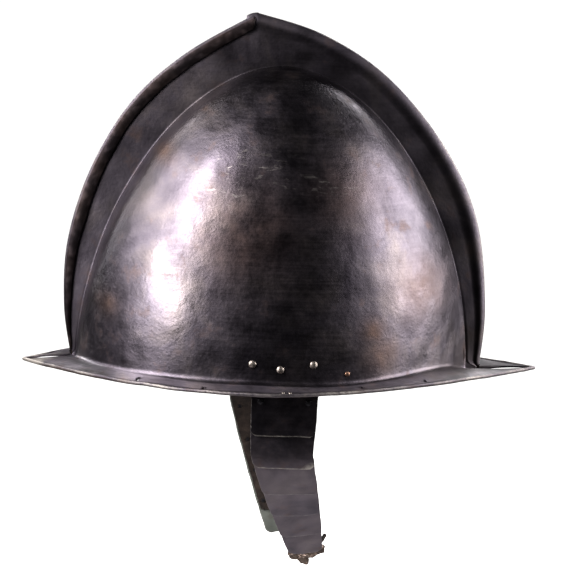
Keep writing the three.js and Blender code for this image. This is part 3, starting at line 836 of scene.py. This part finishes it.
def comb_finish(side, k, row, place, cloud, along):
    rim_row = row - RIM_FIRST_ROW
    fold = fold_amount(k, side)
    # The comb's faces are painted darker along the comb, most near the top, as painted shade where
    # they mirror dark surroundings, and the cloud varies them at random.
    face_tone = tone_at(place.x, COMB_SHADE_TONES) + 0.4 * cloud
    finish = {"matte": 0.8, "tone": face_tone}
    # Painted shade: the hollow under a folded bead is painted black, and a plain rim, which mostly
    # lies inside the other plate's fold, is painted dark towards its top.
    if rim_row > 0 and fold > 0.2:
        hollow = smooth(-1, 2, rim_row) * smooth(7, 4, rim_row)
        finish["tone"] = mix(face_tone, -0.7, hollow) * (1 - smooth(3, 6, rim_row))
    elif rim_row > 0:
        finish["tone"] = mix(face_tone, -0.75, smooth(1, 4, rim_row))
    if fold > 0.2 and 8 < rim_row < 13:
        from_foot = smooth(2, 14, min(k, LAST_COLUMN - k))
        low = smooth(20, 60, abs(k - END_COLUMNS))
        finish["worn"] = (0.3 + 0.17 * low + 0.35 * along) * from_foot
    if fold > 0.2 and rim_row >= 14:
        fleck = noise.noise(place / 3.5 + Vector((0, 0, SIGNS[side] * 20)))
        finish.update(rust=0.6 + 0.4 * cloud, matte=0.9, tone=-0.86 + 0.5 * max(0.0, fleck))
    return finish


def finish_at(side, k, row, place):
    along = noise.noise(Vector((k * 0.11, 2.1, SIGNS[side])))
    cloud = noise.noise(place / 17 + Vector((0, 0, SIGNS[side] * 20)))
    if row < BOWL_FIRST_ROW:
        return brim_finish(side, row, place.x, cloud, along)
    if row < COMB_FIRST_ROW:
        return bowl_finish(side, k, row, place, cloud, along)
    return comb_finish(side, k, row, place, cloud, along)


# %% [markdown]
# A flat grid becomes the plate: each of its points moves to its place on its rib. The hammer
# left shallow hollows all over. They come from smooth noises, one for the broad unevenness and
# two for single blows, moved along the surface's own direction. Edges that meet another plate
# are left where they are.

# %% Half plates
BROAD_HOLLOW = 0.75
BLOW = 0.2
COMB_SHARE = 0.55              # of the bowl's hollows, on the stiffer comb


def hammered(place):
    return (BROAD_HOLLOW * noise.noise(place / 38)
            + BLOW * noise.noise(place / 14 + Vector((7, 3, 9)))
            + 0.35 * BLOW * noise.noise(place / 7))


def hammer_share(row, y):
    """How much of the hammering reaches a point: none at the rims and where plates meet."""
    in_brim = smooth(BEAD_STEPS, BEAD_STEPS + 4, row)
    in_rim = 1 - smooth(RIM_FIRST_ROW - 3, RIM_FIRST_ROW, row)
    return in_brim * in_rim * smooth(0.4, 6, abs(y))


def half_plate(side):
    sheet = bmesh.new()
    bmesh.ops.create_grid(sheet, x_segments=LAST_COLUMN, y_segments=LAST_ROW, size=0.5)
    layers = {name: sheet.verts.layers.float.new(name) for name in FINISHES}
    ribs = [rib_points(k, side) for k in range(LAST_COLUMN + 1)]
    rows = {}
    for vert in sheet.verts:
        k = round((vert.co.x + 0.5) * LAST_COLUMN)
        row = round((vert.co.y + 0.5) * LAST_ROW)
        rows[vert] = row
        vert.co = ribs[k][row]
        for name, value in finish_at(side, k, row, vert.co).items():
            vert[layers[name]] = value
    face_outward(sheet, side)
    sheet.normal_update()
    for vert, row in rows.items():
        amount = hammer_share(row, vert.co.y)
        if amount > 0:
            in_comb = smooth(BOWL_FIRST_ROW + BOWL_STEPS, BOWL_FIRST_ROW + BOWL_STEPS + 8, row)
            vert.co += vert.normal * amount * mix(1, COMB_SHARE, in_comb) * hammered(vert.co)
    bmesh.ops.remove_doubles(sheet, verts=sheet.verts, dist=0.002)
    piece = new_piece(f"plate_{side}", sheet, [oil_blackened_steel, inner_steel],
                      f"{side}_half", slot="blackened_steel")
    thicken(piece, SHEET, inner_material=1)
    drill_brim(piece, SIGNS[side])
    print(piece.name, len(piece.data.vertices), "vertices")
    return piece


plates = {side: half_plate(side) for side in ("right", "left")}

# %% [markdown]
# ## Cheek pieces
# Each cheek piece is a leather strap that hangs inside the bowl and bends in under the jaw,
# with six small steel plates riveted to its outer face. Every plate lies over the top
# edge of the next one, so the piece can bend. A place on a cheek piece is given by how far
# down the strap it is, how far forward of the strap's middle, and how far out from the
# leather: one function turns those three into a place on the helmet, and every lame, strap
# and rivet uses it.

# %% Places on a cheek piece
STRAP_TOP_Z = 24
STRAP_TOP_Y = 89.4             # outer face of the leather at its top
STRAP_MIDDLE_X = 1.5
STRAP_THICKNESS = 2.4
STRAP_LEAN = radians(3)
BEND_START = 63                # distances down the strap: it bends in under the jaw,
BEND_RADIUS = 32
SWING_START = 66.5             # swings forward,
SWING_SLOPE = 0.235
TURN_START = 78                # and its lames turn with it, fully after TURN_LENGTH
TURN_LENGTH = 70
CHIN_HALF_WIDTH = 10.6
CHEEK_WIDENING = 10.4          # added to it where the cheek piece is widest,
NARROWING_START = 32           # down to this distance
NARROWING_LENGTH = 130
NARROWING_POWER = 1.7
TOP_FLARE = 4.5                # extra half width of the strap's top, under the bowl
GAP = 0.3
LAME_THICKNESS = 1.2
LAME_STAND_OFF = 3             # how far a lame's lower edge is lifted by the lame below it
# Each lame from its top, under the lame above, to its lower edge.
LAMES = [(26, 55), (49, 75.5), (69.5, 99.5), (93.5, 121), (115, 142.5), (136.5, 161)]
# The left piece hangs a little further back. shift and swing move it along, chin_lean is its
# slope inward, flare widens the torn leather, and fresh is how new the tear looks.
SIDES = {
    "right": {"shift": 0, "swing": 0, "chin_lean": radians(38),
              "torn_from": 160, "flare": 2.4, "fresh": 1.1},
    "left": {"shift": -6.5, "swing": -0.035, "chin_lean": radians(30),
             "torn_from": 143, "flare": -1.0, "fresh": 0.0},
}


def on_cheek(side, offset, down, out):
    place = SIDES[side]
    centre = STRAP_MIDDLE_X + SWING_SLOPE * max(0, down - SWING_START)
    q = down - SWING_SLOPE * clamp01((down - TURN_START) / TURN_LENGTH) * offset
    turn = place["chin_lean"] - STRAP_LEAN
    angle = STRAP_LEAN + min(turn, max(0, (q - BEND_START) / BEND_RADIUS))
    straight = min(q, BEND_START)
    after = max(0, q - BEND_START - BEND_RADIUS * turn)
    inward = (straight * sin(STRAP_LEAN) + after * sin(angle)
              + BEND_RADIUS * (cos(STRAP_LEAN) - cos(angle)))
    drop = (straight * cos(STRAP_LEAN) + after * cos(angle)
            + BEND_RADIUS * (sin(angle) - sin(STRAP_LEAN)))
    x = centre + offset + place["shift"] + place["swing"] * (q - LAMES[0][0])
    return Vector((x, SIGNS[side] * (STRAP_TOP_Y - inward + out * cos(angle)),
                   STRAP_TOP_Z - drop - out * sin(angle)))


def cheek_half_width(q):
    narrowed = clamp01((q - NARROWING_START) / NARROWING_LENGTH) ** NARROWING_POWER
    flare = TOP_FLARE * clamp01(1 - q / NARROWING_START)
    return CHIN_HALF_WIDTH + CHEEK_WIDENING * (1 - narrowed) + flare


def lame_lift(index, q):
    start, end = LAMES[index]
    return GAP + LAME_STAND_OFF * (q - start) / (end - start)


# %% [markdown]
# A lame is a thin plate cut by hand, so its edges waver, it is dented, and its lower corners
# are clipped round. The upper ones are blacker, partly their own black and partly painted
# shade, and the lower ones are painted paler, for the pale floor they face. Lower edges, which
# rub on the next plate and on hands, are bright.

# %% Lames
# Tone of each lame from the top: partly their own black, partly painted shade on the upper ones
# and a painted paleness on the lower ones, for the floor they face.
LAME_TONES = [-0.5, -0.1, 0.0, 0.15, 0.1, 0.05]
LAME_CORNER = 3.2              # size of the rounded lower corners
LAME_CROWN = 0.25              # how much higher the middle is than the sides


def lame(side, index):
    start, end = LAMES[index]
    sheet = bmesh.new()
    bmesh.ops.create_grid(sheet, x_segments=44, y_segments=30, size=0.5)
    worn_layer = sheet.verts.layers.float.new("worn")
    tone_layer = sheet.verts.layers.float.new("tone")
    edge_wear = 0.85 if index < 2 else 0.5
    seed = Vector((index * 5.1, SIGNS[side] * 9.7, 2.3))
    for vert in sheet.verts:
        spread, down = 2 * vert.co.x, 0.5 - vert.co.y
        q = mix(start, end, down)
        rounding = LAME_CORNER * clamp01((q - end + LAME_CORNER) / LAME_CORNER) ** 2
        half = cheek_half_width(q) - rounding
        ragged = 0.35 * noise.noise(seed + Vector((q / 9, 4 * round(spread), 0)))
        dent = 0.35 * noise.noise(seed + Vector((spread * 1.3, q / 17, 4)))
        out = (lame_lift(index, q) + LAME_THICKNESS - LAME_CROWN * spread ** 2
               + dent * (0.3 + 0.7 * down))
        bow = 0.5 * down * noise.noise(seed + Vector((spread * 1.6, 7, 1)))
        vert.co = on_cheek(side, spread * (half + ragged * abs(spread)), q + bow, out)
        rubbed_corner = 0.0
        if index == 1:
            rubbed_corner = 0.95 * smooth(0.72, 0.98, down) * smooth(0.45, 0.95, spread)
        vert[tone_layer] = LAME_TONES[index] + 0.25 * noise.noise(seed + vert.co / 8)
        vert[worn_layer] = max(edge_wear * smooth(0.94, 1.0, down),
                               0.55 * smooth(0.94, 1.0, -spread),
                               0.4 * smooth(0.94, 1.0, spread), rubbed_corner)
    face_outward(sheet, side)
    piece = new_piece(f"lame_{side}_{index + 1}", sheet, [lame_steel, lame_back],
                      f"cheek_lame_{side}_{index + 1}", slot="blackened_lame")
    thicken(piece, LAME_THICKNESS, inner_material=1, edge_width=0.3)
    return piece


# Outside, the lames are blackened like the helmet, but duller. Behind, they have gone grey.
lame_steel = blackened_steel("hammered_lame_steel", "#38343a", "#4d464b", "#5c5456", 0.42)
lame_back = blackened_steel("greyed_lame_steel", "#6c6f69", "#83867f", "#8f918a", 0.6)
lames = [lame(side, index) for side in SIDES for index in range(len(LAMES))]
print("lames:", len(lames))

# %% [markdown]
# ## Old leather
# The straps are thick vegetable-tanned hide, dried and dark with age, and painted darker
# still, as shade for the inside of the helmet where they hang. Where the leather is torn, the
# fibres inside show paler and pinker.

# %% Leather
old_leather, tree, shader = new_material("dry_vegetable_tanned_leather")
place = add(tree, "TexCoord").outputs["Object"]
mottle = add(tree, "TexNoise", {"Vector": place, "Scale": per_mm(9), "Detail": 6.0,
                                "Roughness": 0.65})
# Painted shade: the hide is darker than its own colour, for the helmet's shadow on the straps.
hide = add(tree, "ValToRGB", {"Fac": mottle.outputs[0]})
set_ramp(hide, [(0.3, "#120e0c"), (0.5, "#1f1815"), (0.7, "#2f2621")])
torn = add(tree, "Attribute", attribute_name="torn")
fibre = add(tree, "TexNoise", {"Vector": place, "Scale": per_mm(1.4), "Detail": 4.0})
frayed = add(tree, "Math", {0: torn.outputs["Fac"], 1: fibre.outputs[0]}, operation="MULTIPLY")
frayed_part = add(tree, "MapRange", {"Value": frayed.outputs[0], "From Min": 0.2,
                                     "From Max": 0.6})
fibres = add(tree, "ValToRGB", {"Fac": frayed_part.outputs[0]})
set_ramp(fibres, [(0.1, "#211915"), (0.55, "#352a23"), (0.95, "#8d7a72")])
opened = add(tree, "MapRange", {"Value": frayed_part.outputs[0], "From Max": 0.25})
hide_colour = add(tree, "Mix", {0: opened.outputs[0], 6: hide.outputs[0],
                                7: fibres.outputs[0]}, data_type="RGBA")
pores = add(tree, "TexVoronoi", {"Vector": place, "Scale": per_mm(1.1)})
pore_bump = add(tree, "Bump", {"Height": pores.outputs["Distance"], "Strength": 0.5,
                               "Distance": 0.15 * MM})
hide_bump = add(tree, "Bump", {"Height": mottle.outputs[0], "Strength": 0.7,
                               "Distance": 0.5 * MM, "Normal": pore_bump.outputs[0]})
tree.links.new(hide_colour.outputs[2], shader.inputs["Base Color"])
tree.links.new(hide_bump.outputs[0], shader.inputs["Normal"])
shader.inputs["Roughness"].default_value = 0.75
shader.inputs["Specular IOR Level"].default_value = 0.12
print("leather:", old_leather.name)

# %% [markdown]
# Both straps end in a tear. A tear isn't cut straight: it runs further down in some places,
# its edges fray and the hide crumples. The grid of the strap is stretched to a different
# length at each place across it, and noise does the rest.

# %% Straps
LEATHER_INSET = 0.8            # the leather is this much narrower than its lames on each side
TEAR_LENGTH = 6                # over which the torn look comes in
# How far down each strap the leather reaches: place across it from rear to front, and length.
TORN_ENDS = {
    "right": [(-1, 170), (-0.8, 173.2), (-0.6, 173.5), (-0.5, 178.8), (-0.15, 180), (0, 174),
              (0.4, 171.5), (0.85, 170), (1, 166)],
    "left": [(-1, 145), (-0.3, 147), (-0.1, 149), (0.1, 160), (0.5, 163), (0.8, 158), (1, 150)],
}


def torn_end(side, spread):
    ends = TORN_ENDS[side]
    for (s0, q0), (s1, q1) in zip(ends, ends[1:]):
        if spread <= s1:
            return mix(q0, q1, clamp01((spread - s0) / (s1 - s0)))
    return ends[-1][1]


def leather_piece(name, sheet, side, *node):
    """Gives a flat sheet of leather its thickness and soft edges."""
    face_outward(sheet, side)
    piece = new_piece(name, sheet, [old_leather], *node, slot="old_leather")
    thicken(piece, STRAP_THICKNESS, edge_width=0.5)
    return piece


def strap(side):
    place = SIDES[side]
    sheet = bmesh.new()
    bmesh.ops.create_grid(sheet, x_segments=30, y_segments=150, size=0.5)
    torn_layer = sheet.verts.layers.float.new("torn")
    seed = Vector((1.7, SIGNS[side] * 4.4, 0))
    for vert in sheet.verts:
        spread, down = 2 * vert.co.x, 0.5 - vert.co.y
        uneven = 0.9 * noise.noise(seed + Vector((spread * 7, 0, 5)))
        q = down * (torn_end(side, spread) + uneven)
        tear = smooth(place["torn_from"], place["torn_from"] + TEAR_LENGTH, q)
        half = cheek_half_width(q) - LEATHER_INSET + place["flare"] * tear
        ragged = noise.noise(seed + Vector((q / 3, 3 * round(spread), 1)))
        ragged = 0.25 * ragged + 0.9 * tear * ragged
        crumple = tear * (1.5 * noise.noise(seed + Vector((spread * 2.6, q / 3.5, 8))) - 0.5)
        sag = min(0, 0.25 * noise.noise(seed + Vector((spread, q / 11, 2))))
        vert.co = on_cheek(side, spread * (half + ragged * abs(spread)), q, -0.1 + sag + crumple)
        fresh = exp(-((q - place["torn_from"] - 2.8 + ragged) / 1.1) ** 2)
        vert[torn_layer] = max(tear * (0.62 + 0.25 * ragged), fresh * place["fresh"])
    return leather_piece(f"strap_{side}", sheet, side, f"cheek_strap_{side}")


straps = [strap(side) for side in SIDES]
print("straps:", [len(piece.data.polygons) for piece in straps], "faces")

# %% [markdown]
# A dry shred has curled away from the front edge of the near strap's tear. It is a narrow
# grid that follows a smooth curve, turns over as it goes, and gets its thickness like the
# straps.

# %% Curled shred
# Places along the shred: forward of the strap's middle, down the strap, and out from it.
CURL = [(7.0, 165, -2.0), (9.8, 159, -1.2), (11.3, 153.5, -0.4), (13.6, 147.5, 0.6)]
CURL_HALF_WIDTH = 1.2
CURL_TURN = 1.9                # radians from its root to its tip


def shred(side, path):
    sheet = bmesh.new()
    bmesh.ops.create_grid(sheet, x_segments=6, y_segments=26, size=0.5)
    torn_layer = sheet.verts.layers.float.new("torn")
    for vert in sheet.verts:
        across, along = 2 * vert.co.x, 0.5 + vert.co.y
        offset, down, out = spline_point(path, along)
        turn = CURL_TURN * along
        ragged = 1 + 0.4 * noise.noise(Vector((along * 6, 1, 0)))
        half = CURL_HALF_WIDTH * (1 - 0.35 * along) * ragged
        vert.co = on_cheek(side, offset + across * half * cos(turn), down,
                           out + across * half * sin(turn))
        vert[torn_layer] = 0.35 + 0.3 * noise.noise(Vector((across, along * 5, 3)))
    return leather_piece(f"strap_shred_{side}", sheet, side)


curl = shred("right", CURL)
print(curl.name, [round(size / MM, 1) for size in curl.dimensions], "mm")

# %% [markdown]
# ## Rivets
# A rivet head is turned: half of its outline spun round its axis. The heads were closed with
# a hammer, so none is quite round. The bowl's three rivets on each side hold the strap; a
# brass one held the lining. Worn steel glints, blackened steel hardly shows, and old brass is
# a dull reddish brown.

# %% Rivet metals
def rivet_metal(name, low_tone, high_tone, roughness):
    material, tree, shader = new_material(name)
    place = add(tree, "TexCoord").outputs["Object"]
    spots = add(tree, "TexNoise", {"Vector": place, "Scale": per_mm(1.6), "Detail": 4.0})
    tones = add(tree, "ValToRGB", {"Fac": spots.outputs[0]})
    set_ramp(tones, [(0.35, low_tone), (0.6, high_tone)])
    marks = add(tree, "Bump", {"Height": spots.outputs[0], "Strength": 0.5, "Distance": 0.12 * MM})
    tree.links.new(tones.outputs[0], shader.inputs["Base Color"])
    tree.links.new(marks.outputs[0], shader.inputs["Normal"])
    shader.inputs["Metallic"].default_value = 1.0
    shader.inputs["Roughness"].default_value = roughness
    return material


worn_rivet_steel = rivet_metal("worn_rivet_steel", "#6c635d", "#a2978f", 0.42)
dark_rivet_steel = rivet_metal("dark_rivet_steel", "#2c2b2f", "#4a474a", 0.46)
blackened_rivet_steel = rivet_metal("blackened_rivet_steel", "#171618", "#29272a", 0.5)
old_brass = rivet_metal("old_brass", "#5c4438", "#8d6d5c", 0.45)


# %% [markdown]
# A head is half of its outline spun all the way round. Below it come the shank, as long as
# what it holds is thick, and the foot that was hammered flat inside. Each size is the head's
# radius, its height and the shank's radius.

# %% One rivet
BOWL_RIVET = (2.5, 1.5, 1.1)
BRASS_RIVET = (1.7, 0.9, 0.9)
TOP_LAME_RIVET = (2.0, 0.7, 0.8)
LAME_RIVET = (1.5, 0.5, 0.8)
BRIM_PIN = (0.95, 0.6, 0.5)
SPIN_STEPS = 28
HEAD_UNDERSIDE = 0.25          # the head's rim reaches this far down
HAND_ROUNDNESS = 0.09          # share by which hammer blows change its size


def rivet(name, size, grip, centre, direction, metal, nodes, slot):
    radius, dome, shank = size
    head = bmesh.new()
    outline = [(radius * sin(radians(a)), dome * cos(radians(a))) for a in range(0, 91, 10)]
    outline += [(radius * 0.96, -HEAD_UNDERSIDE), (shank, -HEAD_UNDERSIDE), (shank, -grip),
                (1.7 * shank, -grip), (1.5 * shank, -grip - 0.6), (0, -grip - 0.7)]
    verts = [head.verts.new((r, 0, z)) for r, z in outline]
    edges = [head.edges.new(pair) for pair in zip(verts, verts[1:])]
    bmesh.ops.spin(head, geom=verts + edges, cent=(0, 0, 0), axis=(0, 0, 1), angle=2 * pi,
                   steps=SPIN_STEPS, use_merge=True)
    bmesh.ops.remove_doubles(head, verts=head.verts, dist=0.001)
    bmesh.ops.recalc_face_normals(head, faces=head.faces)
    for vert in head.verts:
        if vert.co.z > -0.1:
            vert.co *= 1 + HAND_ROUNDNESS * noise.noise(vert.co * 0.5 + centre)
    turn = direction.to_track_quat("Z", "Y").to_matrix().to_4x4()
    bmesh.ops.transform(head, matrix=Matrix.Translation(centre) @ turn, verts=head.verts)
    piece = new_piece(name, head, [metal], *nodes, slot=slot)
    piece.data.set_sharp_from_angle(angle=radians(50))
    return piece


# %% [markdown]
# A rivet in a half plate must sit on the hammered sheet, so its place is found by a ray that
# is cast at the finished plate from outside.

# %% Rivets in the half plates
BOWL_RIVETS = [(-20, 15.3), (-2.4, 12.5), (18.5, 16)]    # x and z
LINING_RIVET = (40.5, 9.9)
BRIM_PINS = [-0.8, 3.6]
BRIM_PIN_INSET = 4.6           # from the brim's edge
plate_trees = {side: BVHTree.FromPolygons([v.co / MM for v in plate.data.vertices],
                                          [p.vertices for p in plate.data.polygons])
               for side, plate in plates.items()}


def wall_hit(side, start, aim):
    """Where a line meets a half plate, in millimetres, and the way the plate faces there."""
    place, normal, _, _ = plate_trees[side].ray_cast(start, aim)
    return place, normal


def bowl_rivets(side):
    sign = SIGNS[side]
    made = []
    for k, (x, z) in enumerate(BOWL_RIVETS):
        wall, normal = wall_hit(side, Vector((x + SIDES[side]["shift"], sign * 300, z)),
                                Vector((0, -sign, 0)))
        inside = abs(on_cheek(side, 0, STRAP_TOP_Z - z, -STRAP_THICKNESS).y)
        made.append(rivet(f"bowl_head_{side}_{k + 1}", BOWL_RIVET, abs(wall.y) - inside + 0.3,
                          wall + normal * 0.15, normal, worn_rivet_steel,
                          [f"bowl_rivet_{side}_{k + 1}"], "steel_rivet"))
    x, z = LINING_RIVET
    wall, normal = wall_hit(side, Vector((x, sign * 300, z)), Vector((0, -sign, 0)))
    made.append(rivet(f"lining_head_{side}", BRASS_RIVET, PLATE + 0.9, wall + normal * 0.1,
                      normal, old_brass, [f"lining_rivet_{side}"], "brass_rivet"))
    for k, x in enumerate(BRIM_PINS):
        wall, normal = wall_hit(side, Vector((x, sign * (BRIM_HALF_WIDTH - BRIM_PIN_INSET), 40)),
                                Vector((0, 0, -1)))
        made.append(rivet(f"brim_pin_{side}_{k + 1}", BRIM_PIN, PLATE + 0.2, wall, normal,
                          worn_rivet_steel, [], "steel_rivet"))
    return made


# %% [markdown]
# Two rivets near the top of each lame hold it to the leather. The lame above covers them,
# except on the top lame, whose rivets were blackened with it.

# %% Rivets in the cheek pieces
TOP_LAME_RIVET_DROP = 7        # from a lame's top to its rivets
LAME_RIVET_DROP = 3.2
LAME_RIVET_SPREAD = 0.72       # of the half width


def lame_rivets(side):
    made = []
    for index, (start, _) in enumerate(LAMES):
        top = index == 0
        q = start + (TOP_LAME_RIVET_DROP if top else LAME_RIVET_DROP)
        out = lame_lift(index, q) + LAME_THICKNESS + GAP
        for way, end_name in ((-1, "rear"), (1, "front")):
            offset = way * LAME_RIVET_SPREAD * cheek_half_width(q)
            centre = on_cheek(side, offset, q, out)
            direction = (centre - on_cheek(side, offset, q, out - 1)).normalized()
            made.append(rivet(f"lame_head_{side}_{index + 1}_{end_name}",
                              TOP_LAME_RIVET if top else LAME_RIVET,
                              out + STRAP_THICKNESS + GAP, centre - direction * 0.25, direction,
                              blackened_rivet_steel if top else dark_rivet_steel,
                              [f"lame_rivet_{side}_{index + 1}_{end_name}"], "steel_rivet"))
    return made


rivets = []
for side in SIDES:
    rivets += bowl_rivets(side) + lame_rivets(side)
print("rivets:", len(rivets))
